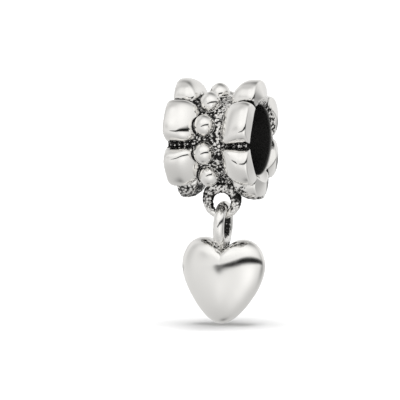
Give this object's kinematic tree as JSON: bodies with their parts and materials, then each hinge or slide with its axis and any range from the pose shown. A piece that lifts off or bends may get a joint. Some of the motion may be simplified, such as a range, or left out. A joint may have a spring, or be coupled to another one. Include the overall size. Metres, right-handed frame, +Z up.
{
  "type": "dangle charm bead",
  "caption": "Large-hole bead charm with domed petals round both ends, a row of small round beads and a puffed heart hanging from a bail loop.",
  "frame": {"origin": "middle of the bead's bore, where the bracelet carries the charm", "axes": "+X along the bore, +Z up, -Y out of the front of the heart"},
  "size_m": [0.0066, 0.0077, 0.0171],
  "materials": {
    "antiqued_silver": "polished, with blackened recesses",
    "polished_silver": "polished"
  },
  "bodies": {
    "bead": {"bead_casting": "antiqued_silver"},
    "drop": {"heart_drop": "polished_silver"}
  },
  "joints": [
    {"name": "drop_swing", "type": "hinge", "parent": "bead", "child": "drop", "pos_m": [0.00022, 0, -0.00538], "axis": [1, 0, 0], "range_deg": [-55, 55]}
  ]
}
